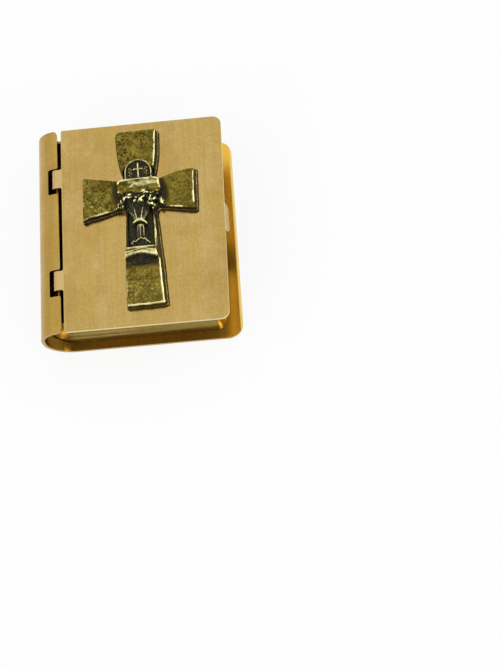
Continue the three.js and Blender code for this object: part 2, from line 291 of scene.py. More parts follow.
def side_highlight_band(s):
    """Where the painted highlight band is, by the height over the front cover and only on the sides."""
    height = s.minus(s.place()["Z"], COVER_TOP)
    band = s.times(s.between(height, SIDE_HIGHLIGHT_FOOT - SIDE_HIGHLIGHT_BLEND, SIDE_HIGHLIGHT_FOOT),
                   s.between(height, SIDE_HIGHLIGHT_HEAD, SIDE_HIGHLIGHT_HEAD + SIDE_HIGHLIGHT_BLEND, 1.0, 0.0))
    return s.times(band, s.between(s.facing()["Z"], 0.65, 0.85, SIDE_HIGHLIGHT_SHARE, 0.0))


def antique_brass(name):
    s = Shader(name)
    grain = s.noise(GRAIN_PER_METRE, 4, 0.6)
    patch = s.noise(PATCHES_PER_METRE, 3, 0.55)
    # A band round the sides is painted bright and clear of patina: a painted highlight.
    side_highlight = side_highlight_band(s)
    wear_and_highlight = s.plus(s.attribute("wear_and_highlight"), side_highlight)
    patina_and_shade = s.minus(s.attribute("patina_and_shade"), s.times(side_highlight, SIDE_HIGHLIGHT_CLEARS))
    pits = s.between(grain, 0.36, 0.5, 1.0, 0.0)
    # What counts as sunk here is the patina and also the painted shade that the mesh carries.
    sunk = s.math("MAXIMUM", patina_and_shade, s.times(pits, 0.4), clamp=True)
    face = s.mix(s.between(patch, 0.35, 0.65), *(linear(*c) for c in FACE_COLOURS))
    face = s.mix(s.between(grain, 0.52, 0.68, 0.0, 0.45), face, linear(*FACE_LIFT))
    dark = s.mix(s.between(grain, 0.35, 0.65), *(linear(*c) for c in DARK_COLOURS))
    tint = s.mix(s.between(sunk, 0.0, 0.6), face, linear(*OLIVE))
    tint = s.mix(s.between(sunk, 0.55, 0.95), tint, dark)
    # Worn metal and the painted highlights that the mesh carries both take the bright colour.
    worn = s.between(s.plus(wear_and_highlight, s.times(s.minus(grain, 0.5), 0.5)), 0.25, 0.75)
    tint = s.mix(worn, tint, linear(*WORN_AND_HIGHLIGHT_COLOUR))
    rough = s.between(worn, 0.0, 1.0, 0.44, 0.24)
    normal = s.bump(s.plus(grain, patch), CAST_RELIEF, CAST_RELIEF_STRENGTH)
    return s.metal(tint, rough, normal, metallic=s.between(sunk, 0.0, 1.0, 1.0, 0.72))


# Where the sheet pieces differ from place to place. The tabs start where the front cover's plate ends.
TAB_EDGE = WIRE_X + 1.1 * MM
TAB_BLEND, PLATE_BLEND = 0.25 * MM, 0.2 * MM
PLATE_UNDER, PLATE_FULL = COVER_TOP - 0.8 * MM, COVER_TOP - 0.4 * MM
FLANGE_START, FLANGE_FULL = FORE_EDGE - 4.1 * MM, FORE_EDGE - 2.6 * MM
FLANGE_TOP, FLANGE_OVER = SHEET_TOP + 0.5 * MM, SHEET_TOP + 0.8 * MM
BENT_START = FORE_EDGE - 4.6 * MM
RIM_START, RIM_FULL = FORE_EDGE - 0.75 * MM, FORE_EDGE - 0.2 * MM
FLANGE_LEAN, RIM_LEAN = -0.1, 0.14
WORN_RIM_START, WORN_RIM_SHARE = FORE_EDGE - 0.6 * MM, 0.3


def hinge_tabs(s):
    """The tabs of the front cover, whose lighter tint is a painted reflection."""
    return s.between(s.place()["X"], TAB_EDGE, TAB_EDGE + TAB_BLEND, 1.0, 0.0)


def flange(s):
    """The polished border of the back cover beside the fore-edge."""
    place = s.place()
    inner = s.times(s.between(place["X"], FLANGE_START, FLANGE_FULL),
                    s.between(place["Z"], FLANGE_OVER, FLANGE_TOP))
    return s.times(inner, s.between(s.facing()["Z"], 0.93, 0.99))


def flange_lean(s):
    """The border is dished towards the pages, and worn round at its outer edge."""
    return s.times(flange(s), s.between(s.place()["X"], RIM_START, RIM_FULL, FLANGE_LEAN, RIM_LEAN))


def plate_edge(s):
    """The front cover's rounded edge, rubbed to bare metal, and less so on the spine's side."""
    upward, place = s.facing()["Z"], s.place()
    bent = s.times(s.between(upward, 0.75, 0.96, 1.0, 0.0), s.between(upward, 0.0, 0.15, 0.5, 1.0))
    plate = s.times(s.between(place["Z"], PLATE_UNDER, PLATE_FULL),
                    s.between(place["X"], TAB_EDGE - PLATE_BLEND, TAB_EDGE))
    return s.times(bent, s.between(s.facing()["X"], -0.4, -0.1, 0.3, 1.0), plate)


def fore_edge(s):
    """The back cover's edge on the side of the catch, and the outer rim of its border."""
    along = s.place()["X"]
    bent = s.times(s.between(s.facing()["X"], 0.06, 0.35, 0.0, 0.5),
                   s.between(along, BENT_START, FLANGE_FULL))
    worn = s.times(flange(s), s.between(along, WORN_RIM_START, RIM_FULL, 0.0, WORN_RIM_SHARE))
    return s.math("MAXIMUM", bent, worn)


# The CAD's own pieces: their edges are rounded as worn sheet, and their bends are shaded smooth
WELD_DISTANCE = 0.002 * MM
FLAT_DEGREES = 0.4
EDGE_DEGREES = 32


def dress(node, material, edge, segments):
    piece = frame["nodes"][node]
    mesh = piece.data
    custom = mesh.attributes.get("custom_normal")
    if custom:
        mesh.attributes.remove(custom)
    mesh.polygons.foreach_set("use_smooth", [True] * len(mesh.polygons))
    weld = piece.modifiers.new("weld", "WELD")
    weld.merge_threshold = WELD_DISTANCE
    flat = piece.modifiers.new("flat", "DECIMATE")
    flat.decimate_type = "DISSOLVE"
    flat.angle_limit = math.radians(FLAT_DEGREES)
    bevel = piece.modifiers.new("edge", "BEVEL")
    bevel.limit_method = "ANGLE"
    bevel.angle_limit = math.radians(EDGE_DEGREES)
    bevel.width = edge
    bevel.segments = segments
    bevel.harden_normals = True
    mesh.materials.clear()
    mesh.materials.append(material)


def dress_sheet():
    # The hinge tabs are tinted lighter than the plate as a painted reflection.
    front = sheet_brass("front_brass", colour=(203, 173, 108), cloud_colour=(189, 155, 86), roughness=0.15,
                        part=hinge_tabs, part_colour=(208, 178, 118), bare=plate_edge)
    back = sheet_brass("back_brass", colour=(196, 163, 90), cloud_colour=(186, 150, 72), roughness=0.24,
                       part=flange, part_colour=(234, 188, 78), part_roughness=0.26,
                       lean=flange_lean, bare=fore_edge)
    # The page wall's darker, olive tint is painted shade, for the shaded floor that it reflects.
    wall = sheet_brass("wall_brass", colour=(168, 144, 82), cloud_colour=(154, 128, 64), roughness=0.16)
    wire = sheet_brass("wire_brass", colour=(150, 100, 56), cloud_colour=(120, 70, 36), roughness=0.36)
    dress("back_cover", back, edge=0.2 * MM, segments=3)
    dress("page_wall", wall, edge=0.08 * MM, segments=2)
    dress("front_cover", front, edge=0.32 * MM, segments=4)
    dress("hinge_wire", wire, edge=0.06 * MM, segments=2)


dress_sheet()


# The cross is a casting whose height over the front cover is a function of the place on it. It is drawn
# in millimetres round the crossing of its arms, U to its right and V to its top, and then turned and moved
# until the crossing is at CROSS_AT.
CROSS_STEP = 0.1
CROSS_TURN = math.radians(0.9)
CROSS_AT = (1.775, 5.65)
TOP_ARM, FOOT_ARM = 15.15, 25.2
LEFT_ARM, RIGHT_ARM = 12.3, 12.0
SHAFT_HALF, TOP_HALF, SIDE_HALF, FOOT_HALF = 3.2, 4.75, 4.85, 4.1
FOOT_FLARE = -17.5
PLATE = 1.6
DRAFT, RIGHT_DRAFT = 0.25, 0.55
ROUND_EDGE = 0.22


def turned(u, v, angle):
    c, s = math.cos(angle), math.sin(angle)
    return c * u - s * v, s * u + c * v


def rounded(corners, steps=8):
    """Corners as (u, v, radius) to the points of a closed outline."""
    points = []
    count = len(corners)
    for i, (u, v, radius) in enumerate(corners):
        here = np.array([u, v], float)
        if radius == 0:
            points.append(here)
            continue
        before = np.array(corners[i - 1][:2]) - here
        after = np.array(corners[(i + 1) % count][:2]) - here
        before /= np.linalg.norm(before)
        after /= np.linalg.norm(after)
        half = math.acos(np.clip(before @ after, -1, 1)) / 2
        inward = (before + after) / np.linalg.norm(before + after)
        centre = here + inward * radius / math.sin(half)
        start = here + before * radius / math.tan(half) - centre
        turn = -np.sign(before[0] * after[1] - before[1] * after[0]) * (math.pi - 2 * half)
        for k in range(steps + 1):
            points.append(centre + np.array(turned(*start, turn * k / steps)))
    return np.array(points)


def top_flank(steps=8):
    """The bulging flank of the top arm, from the crossing to its end."""
    for k in range(2, steps):
        t = k / steps
        u = (1 - t) ** 2 * SHAFT_HALF + (1 - (1 - t) ** 2) * TOP_HALF
        v = (1 - t) ** 2 * SHAFT_HALF + 2 * t * (1 - t) * TOP_ARM / 2 + t * t * TOP_ARM
        yield u, v


def cross_outline():
    """The foot of the casting's sides, from its lower right corner round to its lower left one."""
    right = [
        (FOOT_HALF + 0.6, -FOOT_ARM, 0.3),
        (FOOT_HALF + 0.3, FOOT_FLARE, 0),
        (SHAFT_HALF + 0.3, -SHAFT_HALF - 0.2, 0.9),
        (RIGHT_ARM, -SIDE_HALF - 0.2, 0.35),
        (RIGHT_ARM + 0.3, SIDE_HALF + 0.05, 0.3),
        (RIGHT_ARM - 1.8, SIDE_HALF - 0.05, 0),
        (RIGHT_ARM - 3.9, SIDE_HALF - 0.25, 0),
        (RIGHT_ARM - 5.7, SIDE_HALF - 0.7, 0),
        (SHAFT_HALF + 0.1, SHAFT_HALF, 0.6),
        *((u, v, 0) for u, v in top_flank()),
        (TOP_HALF, TOP_ARM, 0.8),
    ]
    left = [
        (-TOP_HALF, TOP_ARM - 0.1, 1.3),
        *((-u, v, 0) for u, v in reversed(list(top_flank()))),
        (-SHAFT_HALF, SHAFT_HALF + 0.4, 0.6),
        (-LEFT_ARM + 0.2, SIDE_HALF + 0.35, 0.7),
        (-LEFT_ARM, -SIDE_HALF - 0.45, 0.35),
        (-SHAFT_HALF, -SHAFT_HALF, 0.9),
        (-FOOT_HALF + 0.05, FOOT_FLARE, 0),
        (-FOOT_HALF, -FOOT_ARM, 0.4),
    ]
    return rounded(right + left)


# Fields over the grid of places
FAR = 1e9


def to_segment(u, v, start, end):
    """The distance from each place to a straight piece of a path."""
    du, dv = end[0] - start[0], end[1] - start[1]
    t = np.clip(((u - start[0]) * du + (v - start[1]) * dv) / (du * du + dv * dv), 0, 1)
    return np.hypot(u - start[0] - t * du, v - start[1] - t * dv)


def signed_distance(u, v, outline):
    """The distance to the outline, above zero inside it."""
    nearest = np.full(u.shape, FAR)
    inside = np.zeros(u.shape, bool)
    for start, end in zip(outline, np.roll(outline, -1, axis=0)):
        nearest = np.minimum(nearest, to_segment(u, v, start, end))
        if start[1] != end[1]:
            crosses = (start[1] > v) != (end[1] > v)
            inside ^= crosses & (u < start[0] + (v - start[1]) / (end[1] - start[1]) * (end[0] - start[0]))
    return np.where(inside, nearest, -nearest)


def smooth(low, high, x):
    """0 to 1 as x goes from low to high, which may also be the lower of the two."""
    t = np.clip((x - low) / (high - low), 0, 1)
    return t * t * (3 - 2 * t)


def ridge(x, width):
    """1 where x is zero, falling off evenly on both sides."""
    return np.exp(-(x / width) ** 2)


def blended_max(a, b, width):
    h = np.clip(0.5 + 0.5 * (a - b) / width, 0, 1)
    return b * (1 - h) + a * h + width * h * (1 - h)


def lattice_noise(u, v, size, seed):
    """Smooth random hills of about that size, from -1 to 1."""
    count, shift = 512, 100
    table = np.random.default_rng(seed).uniform(-1, 1, (count, count))
    x, y = (u + shift) / size, (v + shift) / size
    i, j = np.floor(x).astype(int), np.floor(y).astype(int)
    s, t = smooth(0, 1, x - i), smooth(0, 1, y - j)

    def at(a, b):
        return table[a % count, b % count]

    low = at(i, j) * (1 - s) + at(i + 1, j) * s
    high = at(i, j + 1) * (1 - s) + at(i + 1, j + 1) * s
    return low * (1 - t) + high * t


def blurred(field, radius):
    """The field averaged over three passes of a box that reaches that many cells each way."""
    out = field
    for _ in range(3):
        for axis in (0, 1):
            pad = [(radius + 1, radius) if a == axis else (0, 0) for a in (0, 1)]
            total = np.cumsum(np.pad(out, pad, mode="edge"), axis=axis)
            high = np.take(total, range(2 * radius + 1, total.shape[axis]), axis=axis)
            low = np.take(total, range(0, total.shape[axis] - 2 * radius - 1), axis=axis)
            out = (high - low) / (2 * radius + 1)
    return out


def swelling(u, v, centre, half, turn=0.0, power=2.0):
    """1 at the centre of an oval, falling to 0 at its rim."""
    x, y = turned(u - centre[0], v - centre[1], -turn)
    return np.clip(1 - (np.abs(x / half[0]) ** power + np.abs(y / half[1]) ** power), 0, 1) ** (1 / power)


def line_ridge(u, v, path, half):
    """1 along a path of points, falling to 0 at half its width."""
    nearest = np.full(u.shape, FAR)
    for start, end in zip(path[:-1], path[1:]):
        nearest = np.minimum(nearest, to_segment(u, v, start, end))
    return np.sqrt(np.clip(1 - (nearest / half) ** 2, 0, 1))


# The casting's plate, with a sunk panel round the chalice's bowl and stem, and a shadow round the host.
# A base is a height over the front cover, and a rise is how much a form adds to it.
DISH = 0.45
RIM_RISE, PEBBLE_RISE, WAVE_RISE = 0.05, 0.07, 0.05
PANEL_CENTRE, PANEL_HALF = -0.2, 2.75
PANEL_FOOT, PANEL_HEAD = -12.4, 3.0
PANEL_DEPTH, BORDER_RISE = 0.62, 0.14
HOST_CENTRE, HOST_MIDDLE, HOST_FOOT = -0.08, 5.0, 1.0
HOST_RADIUS = 2.85
NO_HOST, NO_FORM = -3, -1
DEEP_PATINA = 0.97


class Casting:
    """The casting over a grid of places: its height, its patina and painted shade, and its rubbing and
    painted highlights.

    Inside is the distance from the edge, and lit is 1 where that edge faces the right or the foot. Reach is
    about the distance from the crossing, and host is how far a place lies inside the host.
    """

    def __init__(self, u, v, inside, lit):
        self.u, self.v = u, v
        self.reach = np.hypot(u * 0.9, np.where(v > 0, v * 0.85, v * 0.75))
        self.over_foot = smooth(-13.2, -12.2, v)
        self.pebbles = self.noise(0.5, seed=3) * 0.5 + self.noise(0.27, seed=4) * 0.5
        self.waves = self.noise(2.2, seed=5)
        rough_arms = np.maximum(smooth(2, -5, u), 0.4 * smooth(8, 10, v))
        self.grit = (0.5 + 0.5 * rough_arms) * smooth(3.7, 6.4, self.reach)
        self.worn = smooth(-15.5, -18.5, v) + 0.8 * smooth(-5, -8, u) * smooth(2.5, -1.5, v)
        host = HOST_RADIUS - np.hypot(u - HOST_CENTRE, np.maximum(v - HOST_MIDDLE, 0))
        self.host = np.where(v > HOST_FOOT, host, NO_HOST)
        self.make_plate(inside, lit)
        self.sink_panel()

    def noise(self, size, seed):
        return lattice_noise(self.u, self.v, size, seed)

    def oval(self, centre, half, turn=0.0, power=2.0):
        return swelling(self.u, self.v, centre, half, turn, power)

    def line(self, path, half):
        return line_ridge(self.u, self.v, path, half)

    def make_plate(self, inside, lit):
        """Arms that dip towards the crossing, with thin rims, rubbed unevenly and with painted highlights.
        """
        rim = ridge(inside - 0.1 - 0.06 * lit, 0.1 + 0.1 * lit) * smooth(4.5, 8.5, self.reach)
        patchy = smooth(-0.7, 0.3, self.noise(1.3, seed=14))
        skin = self.pebbles * smooth(0.1, 0.4, inside) * self.grit * (1 - 0.55 * self.worn)
        face = PLATE - DISH * (1 - smooth(3.2, 9.0, self.reach))
        self.height = face + RIM_RISE * rim + PEBBLE_RISE * skin + WAVE_RISE * self.waves
        # The rims are rubbed unevenly, and those that face the right or the foot get painted highlights.
        shine = rim * (0.3 * patchy + 1.05 * lit * (0.5 + 0.5 * patchy))
        shine = shine + (0.3 - 0.24 * self.worn) * self.pebbles * self.grit
        beside_stem = self.over_foot * smooth(-3.0, -4.5, self.v)
        self.shine = shine * (1 - 0.8 * beside_stem) + 0.26 * self.worn

    def sink_panel(self):
        """The panel and what is dark, with a thin bright border right of it and a dark strip left of it."""
        u, v = self.u, self.v
        along = np.minimum(v - PANEL_FOOT, PANEL_HEAD - v)
        panel = smooth(0.0, 0.3, np.minimum(PANEL_HALF - np.abs(u - PANEL_CENTRE), along))
        around = smooth(-0.7, -0.15, self.host) * smooth(6.8, 5.2, v - 1.5 * (self.host > 0))
        sunk = np.maximum(panel, around)
        border = ridge(u - 2.72 - 0.02 * (v + 12), 0.13)
        border = border * smooth(-12.6, -11.8, v) * (1 - smooth(-6.4, -5.2, v))
        strip = smooth(-2.4, -3.0, u) * smooth(-4.7, -4.3, u)
        strip = strip * smooth(-12.9, -12.2, v) * smooth(-4.2, -5.4, v)
        self.height = self.height - PANEL_DEPTH * sunk + BORDER_RISE * border
        self.shine = self.shine * (1 - sunk) + 0.15 * border - 0.7 * strip
        # Near the crossing the plate is darker: patina, and painted shade beside the chalice's relief.
        crossing = 1 - smooth(3.7, 6.4, self.reach + 0.5 * self.waves)
        hollows = np.clip(-1.5 * self.pebbles, 0, 0.62) * self.grit
        self.dark = np.maximum.reduce((
            np.maximum(np.maximum(DEEP_PATINA * panel, around), DEEP_PATINA * crossing) * self.over_foot,
            0.22 * smooth(0.35, 0.9, 0.5 + 0.5 * self.waves),
            # Painted shade: the cross is a little darker towards its right.
            0.15 * smooth(2.0, 4.0, u),
            hollows * (1 - 0.4 * np.clip(self.worn, 0, 1)),
            # Painted shadow of the chalice's foot on the plate below it.
            0.55 * smooth(-17.6, -15.6, v) * (v < -12),
            0.8 * strip,
        ))

    def lay(self, where, z, patina, width=0.12, bright=0.0):
        """Lay a form over what is there, with its own patina and brightness where it stands out."""
        z = np.where(where, z, NO_FORM)
        over = smooth(-0.05, 0.12, z - self.height)
        self.dark = self.dark * (1 - over) + patina * over
        self.shine = self.shine * (1 - over) + bright * over
        self.height = blended_max(self.height, z, width)


# The host: an upright disc that stands in the cup, with a raised rim
HOST_BASE, DISC_RISE, ARCH_RISE = 0.95, 0.62, 1.2
ARCH_INSIDE, ARCH_WIDTH = 0.16, 0.13
BARS_BASE, BARS_RISE, BARS_HALF = 1.5, 0.42, 0.24
STALK_BASE, STALK_RISE, STALK_HALF = 1.45, 0.35, 0.18
EAR_BASE, EAR_RISE, EAR_HALF = 1.5, 0.35, (0.3, 0.2)
EAR_STEP, EARS_PER_SIDE = 0.42, 5


def lay_host(cast):
    on_host = cast.host > 0
    cast.lay(on_host, HOST_BASE + DISC_RISE * smooth(0, 0.25, cast.host), DEEP_PATINA)
    arch = ridge(cast.host - ARCH_INSIDE, ARCH_WIDTH) * (cast.v > HOST_FOOT)
    cast.lay(on_host, HOST_BASE + ARCH_RISE * arch, patina=0.3, bright=0.05 * arch)


def lay_host_cross(cast):
    """A small plain cross between two ears of grain."""
    bars = np.maximum(cast.line([(HOST_CENTRE, 2.9), (HOST_CENTRE, 6.9)], BARS_HALF),
                      cast.line([(-0.95, 5.6), (0.8, 5.6)], BARS_HALF))
    cast.lay(bars > 0, BARS_BASE + BARS_RISE * bars, patina=0.35, bright=0.12)
    for side in (-1, 1):
        path = [(HOST_CENTRE + side * across, v) for across, v in ((1.35, 3.0), (1.75, 4.4), (1.5, 6.0))]
        stalk = cast.line(path, STALK_HALF)
        cast.lay(stalk > 0, STALK_BASE + STALK_RISE * stalk, patina=0.4)
        for k in range(EARS_PER_SIDE):
            place = (HOST_CENTRE + side * (1.62 + 0.24 * (-1) ** k), 4.2 + EAR_STEP * k)
            ear = cast.oval(place, EAR_HALF, side * 0.9)
            cast.lay(ear > 0, EAR_BASE + EAR_RISE * ear, patina=0.35, bright=0.02)


# The cup's bowl and its stem. Flutes and ribs are places across a form, from -1 to 1, with their sizes.
BOWL_BASE, BOWL_RISE, FLUTE_RISE = 0.9, 1.3, 0.2
BOWL_HEAD, BOWL_FOOT = 2.0, -6.3
BOWL_CENTRE, BOWL_NECK_HALF, BOWL_FLARE = -0.35, 1.15, 2.4
FLUTES, FLUTE_WIDTH = ((-0.92, 0.25), (-0.4, 0.9), (0.32, 0.8)), 0.05
KNOB = ((-1.6, -6.8), (-1.25, -6.5), (-0.75, -6.35), (0.1, -6.33), (0.7, -6.55), (1.2, -7.1))
KNOB_BASE, KNOB_RISE, KNOB_HALF = 1.9, 0.4, 0.14
STEM_BASE, STEM_RISE, RIB_RISE = 0.9, 0.75, 0.2
STEM_HEAD, STEM_FOOT = -6.9, -12.5
STEM_CENTRE, STEM_HALF, STEM_FLARE = -0.2, 0.95, 1.3
RIBS, RIB_WIDTH = ((-0.72, 0.5), (-0.1, 1.0), (0.62, 1.0)), 0.06
PETALS = ((-1.85, -11.3), (-0.95, -11.1), (-0.1, -10.7), (0.75, -11.0), (1.35, -11.7))
PETAL_BASE, PETAL_RISE, PETAL_HALF = 1.15, 0.7, (0.5, 1.0)
CREST = ((-2.3, -11.4), (-1.8, -10.75), (-1.35, -10.95), (-0.9, -10.5), (-0.2, -10.1), (0.25, -10.5),
         (0.6, -10.3), (1.0, -10.85), (1.65, -11.5))
CREST_BASE, CREST_RISE, CREST_HALF = 1.6, 0.3, 0.14


def half_round(across):
    """1 in the middle of a round form, falling to 0 at its sides, where across is -1 or 1."""
    return np.sqrt(np.clip(1 - across ** 2, 0, 1))


def ridges(across, places, width):
    return sum(size * ridge(across - place, width) for place, size in places)


def lay_bowl(cast):
    v = cast.v
    centre = BOWL_CENTRE + 0.1 * smooth(-7, -1, v)
    across = (cast.u - centre) / (BOWL_NECK_HALF + BOWL_FLARE * smooth(-6.9, -1.2, v) ** 1.1)
    between_sides = np.abs(across) < 1
    flutes = ridges(across, FLUTES, FLUTE_WIDTH)
    on_bowl = between_sides & (v > BOWL_FOOT) & (v < BOWL_HEAD)
    cast.lay(on_bowl, BOWL_BASE + BOWL_RISE * half_round(across) + FLUTE_RISE * flutes, DEEP_PATINA)
    glint = np.clip(flutes, 0, 1) * smooth(-3.4, -4.4, v) * smooth(-6.5, -6.1, v) * between_sides
    cast.shine = cast.shine + 0.16 * glint
    # A painted highlight: the patina is lighter in an oval right of the bowl.
    cast.dark = cast.dark - 0.3 * cast.oval((2.1, -4.9), (1.0, 0.7), 0.4)


def lay_stem(cast):
    """The knob, the ribbed stem, and the petals and their crest that it stands on."""
    v = cast.v
    knob = cast.line(KNOB, KNOB_HALF)
    cast.lay(knob > 0, KNOB_BASE + KNOB_RISE * knob, patina=0.35)
    across = (cast.u - STEM_CENTRE) / (STEM_HALF + STEM_FLARE * smooth(-9.6, -12.3, v) ** 1.4)
    ribs = ridges(across, RIBS, RIB_WIDTH) * smooth(STEM_HEAD, STEM_HEAD - 0.6, v)
    on_stem = (np.abs(across) < 1) & (v < STEM_HEAD) & (v > STEM_FOOT)
    cast.lay(on_stem, STEM_BASE + STEM_RISE * half_round(across) + RIB_RISE * ribs, patina=0.95)
    glint = np.clip(ribs, 0, 1) * smooth(-10.6, -9.6, v)
    cast.shine = cast.shine + np.where(on_stem, 0.06 * glint, 0)
    for place, top in PETALS:
        petal = cast.oval((place, top - 0.6), PETAL_HALF)
        cast.lay(petal > 0, PETAL_BASE + PETAL_RISE * petal, patina=0.93)
    crest = cast.line(CREST, CREST_HALF)
    cast.lay(crest > 0, CREST_BASE + CREST_RISE * crest, patina=0.45)


# The rim of the cup: a thick rounded band with painted highlights, a thin line along its top and an uneven
# streak along it
LIP_CENTRE, LIP_HALF, LIP_POWER = (-0.1, 1.2), (4.6, 1.75), 5
LIP_BASE, LIP_RISE, LIP_UPPER_RISE, LIP_LOWER_RISE = 1.3, 0.6, 0.85, 0.7
STREAK_MIDDLE, STREAK_WIDTH = 1.55, 0.3


def lay_lip(cast):
    u, v = cast.u, cast.v
    lip = cast.oval(LIP_CENTRE, LIP_HALF, 0.0, LIP_POWER)
    rise = LIP_RISE + LIP_UPPER_RISE * smooth(0.9, 2.4, v) * smooth(3.0, 2.6, v)
    rise = rise + LIP_LOWER_RISE * smooth(-0.7, 0.4, v)
    top = LIP_BASE + smooth(0, 0.95, lip) * rise
    top = top + 0.16 * cast.noise(0.8, seed=6) * smooth(2.4, 1.4, v)
    streaks = lattice_noise(u * 0.45, v, 0.4, seed=12)
    streak = ridge(v - (STREAK_MIDDLE + 0.35 * streaks + 0.06 * u), STREAK_WIDTH)
    streak = (1.8 + 1.4 * cast.noise(0.7, seed=15)) * streak * smooth(-3.4, -1.6, u) * smooth(4.4, 3.4, u)
    # Painted highlights: a thin line along the top and the uneven streak, over random streaks.
    painted_highlight = 0.25 * ridge(v - 2.6, 0.25) + streak + 0.3 * streaks - 0.24
    patina = np.clip(0.08 - 0.4 * streaks + 0.2 * smooth(0.9, 0.0, v), 0, 0.5)
    cast.lay(lip > 0, top, patina, bright=painted_highlight)


# Vines that hang over the bowl, with leaves and grapes in no order
VINES = (((-3.9, -0.1), (-3.1, -0.9), (-3.6, -1.9), (-4.2, -3.0), (-5.0, -4.1), (-6.2, -4.5)),
         ((-3.0, -0.8), (-1.9, -0.7), (-1.0, -1.3), (-0.3, -2.1), (0.6, -1.9)),
         ((0.1, -1.0), (1.2, -0.5), (2.5, -0.6), (3.2, -1.6), (4.2, -2.4), (5.1, -3.0)),
         ((1.6, -1.1), (2.2, -2.2), (3.0, -3.2), (3.6, -4.1)))
VINE_BASE, VINE_RISE, VINE_HALF = 2.15, 0.5, 0.3
VINE_FALL = 0.03
VINE_SEED = 11
LEAVES_PER_STRETCH = 6
LEAF_SPREAD = 0.6
LEAF_LENGTH, LEAF_WIDTH = (0.25, 0.75), (0.14, 0.3)
LEAF_BASE, LEAF_RISE, LEAF_BLEND = (2.05, 2.65), 0.55, 0.05
DARK_LEAVES_SHARE = 0.55


def lay_leaf(cast, rng, start, end):
    t = rng.uniform(0, 1)
    place = (start[0] + (end[0] - start[0]) * t + rng.uniform(-LEAF_SPREAD, LEAF_SPREAD),
             start[1] + (end[1] - start[1]) * t + rng.uniform(-LEAF_SPREAD, LEAF_SPREAD))
    size = (rng.uniform(*LEAF_LENGTH), rng.uniform(*LEAF_WIDTH))
    leaf = cast.oval(place, size, rng.uniform(0, math.pi))
    base = rng.uniform(*LEAF_BASE) - VINE_FALL * place[0] ** 2
    if rng.uniform(0, 1) < DARK_LEAVES_SHARE:
        patina, bright = 0.95, -0.25
    else:
        patina, bright = 0.25, 1.2 * smooth(0.3, 0.65, leaf) * smooth(7.0, 3.0, cast.reach) - 0.12
    cast.lay(leaf > 0, base + LEAF_RISE * leaf, patina, LEAF_BLEND, bright)


def lay_vines(cast):
    rng = np.random.default_rng(VINE_SEED)
    for path in VINES:
        vine = cast.line(path, VINE_HALF)
        cast.lay(vine > 0, VINE_BASE + VINE_RISE * vine - VINE_FALL * cast.u ** 2, patina=0.9, bright=-0.1)
        for start, end in zip(path[:-1], path[1:]):
            for _ in range(LEAVES_PER_STRETCH):
                lay_leaf(cast, rng, start, end)
    hung = smooth(0.6, 0.0, cast.v) * smooth(-4.6, -3.8, cast.v) * smooth(5.4, 4.6, np.abs(cast.u))
    cast.height = cast.height + hung * 0.1 * cast.noise(0.35, seed=9)


# The foot of the chalice: a faceted bar over a face that curves down to the plate. Across is 0 in the
# middle of the foot and -1 or 1 near its ends.
BAR_CENTRE, BAR_HALF = -0.55, 3.35
BAR_LEFT, BAR_RIGHT = -4.1, 2.75
BAR_HEAD, BAR_FOOT = -12.35, -14.15
BAR_BASE, BAR_RISE = 2.65, 0.85
CREASE_MIDDLE = -13.45
TOE_FOOT, FACE_HEAD = -16.45, 3.3
END_LENGTH, END_HEAD, END_FALL = 1.1, 3.1, 1.7


def lay_foot(cast):
    u, v = cast.u, cast.v
    across = (u - BAR_CENTRE) / BAR_HALF
    lower = BAR_FOOT - 0.62 * np.abs(across) ** 1.7
    toe = TOE_FOOT + 1.1 * across ** 2
    widening = smooth(-12.3, -14.5, v)
    right_end = BAR_RIGHT + 0.25 * widening
    between_ends = np.minimum(u - (BAR_LEFT + 0.1 * widening), right_end - u) > 0
    # The right end slopes down to the plate's edge
    on_end = (u >= right_end) & (u < right_end + END_LENGTH) & (v < BAR_HEAD) & (v > toe)
    slope = END_HEAD - END_FALL * (u - right_end) / END_LENGTH - 0.25 * smooth(-14.2, -15.8, v)
    cast.lay(on_end, slope, patina=0.6, width=0.06, bright=-0.25)
    # The face under the bar is dark, but for its toe
    fall = np.clip((v - toe) / (lower - toe), 0, 1)
    face = PLATE + (FACE_HEAD - PLATE) * fall ** 1.8
    on_face = between_ends & (v <= lower) & (v > toe)
    cast.lay(on_face, face, patina=0.98 - 0.4 * smooth(0.16, 0.06, fall), width=0.03)
    # The bar has a crease along it, and a painted highlight streak above the crease
    over_crease = v - CREASE_MIDDLE - 0.55 * smooth(1.0, 0.0, np.abs(across - 0.15) / 0.8)
    over_crease = over_crease + 0.35 * np.abs(across)
    facet = 0.07 * ridge(over_crease, 0.14) - 0.08 * smooth(0.25, -0.4, over_crease)
    bar = BAR_BASE + BAR_RISE * smooth(-12.4, -14.0, v) - 0.1 * np.abs(across) + facet
    on_bar = between_ends & (v < BAR_HEAD) & (v > lower)
    streak = ridge(over_crease - 0.16, 0.17) * smooth(-3.0, -1.2, u) * smooth(2.6, 1.8, u)
    cast.lay(on_bar, bar, patina=0.06 + 0.2 * ridge(over_crease + 0.2, 0.13) * smooth(-2.6, -1.6, u),
             width=0.06, bright=0.1 + 0.9 * streak + 0.2 * cast.noise(0.6, seed=16))


def full_casting(u, v, inside, lit):
    cast = Casting(u, v, inside, lit)
    for lay_part in (lay_host, lay_host_cross, lay_bowl, lay_stem, lay_lip, lay_vines, lay_foot):
        lay_part(cast)
    return cast


# The casting's mesh: a grid with its sides, closed underneath. The surface is kept where it is over
# KEPT_OVER, held no lower than UNDER, and then cut off at the front cover.
GRID_MARGIN = 0.8
TINY = 1e-9
UNDER = -0.05
KEPT_OVER = -0.9
SIDE_WEAR, SIDE_PATINA = -0.4, 0.95
CUT_DISTANCE = 1e-6
OFF_EDGE, ON_FOOT, ON_TOP = 0, 1, 2


